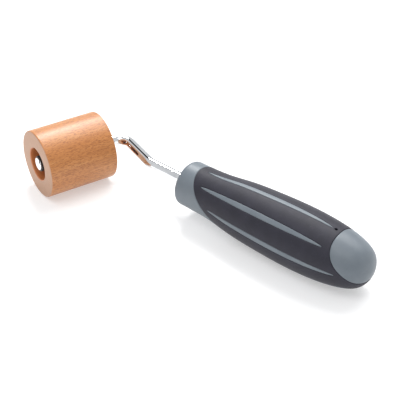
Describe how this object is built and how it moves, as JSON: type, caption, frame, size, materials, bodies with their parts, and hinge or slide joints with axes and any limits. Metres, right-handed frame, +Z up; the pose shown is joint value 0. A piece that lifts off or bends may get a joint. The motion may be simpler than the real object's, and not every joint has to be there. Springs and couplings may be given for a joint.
{
  "type": "seam roller",
  "caption": "Hand seam roller: a beech roller turns on one end of a bent plated rod, held in a barrel-shaped two-component grip with slanted collar and striped soft sleeve.",
  "frame": {"origin": "on the resting surface, under the middle of the whole tool's bounding box", "axes": "+X along the grip from roller to butt, +Z up from the surface the tool rests on, +Y from the roller's outer face towards its inner face side"},
  "size_m": [0.2356, 0.0724, 0.043],
  "materials": {
    "beech": "fine sanded bare beech",
    "bush_nylon": "moulded nylon",
    "washer_steel": "plain stamped steel",
    "rod_plating": "bright plated steel",
    "hard_grip": "satin moulded polypropylene",
    "soft_grip": "soft-touch elastomer"
  },
  "bodies": {
    "frame": {"rod": "rod_plating", "outer_washer": "washer_steel", "inner_washer": "washer_steel", "handle_core": "hard_grip", "grip_sleeve": "soft_grip"},
    "roller": {"roller": "beech", "outer_bush": "bush_nylon", "inner_bush": "bush_nylon"}
  },
  "joints": [
    {"name": "roller_spin", "type": "hinge", "parent": "frame", "child": "roller", "pos_m": [-0.0905, -0.00824, 0.0215], "axis": [0.3183, 0.948, 0], "continuous": true}
  ]
}
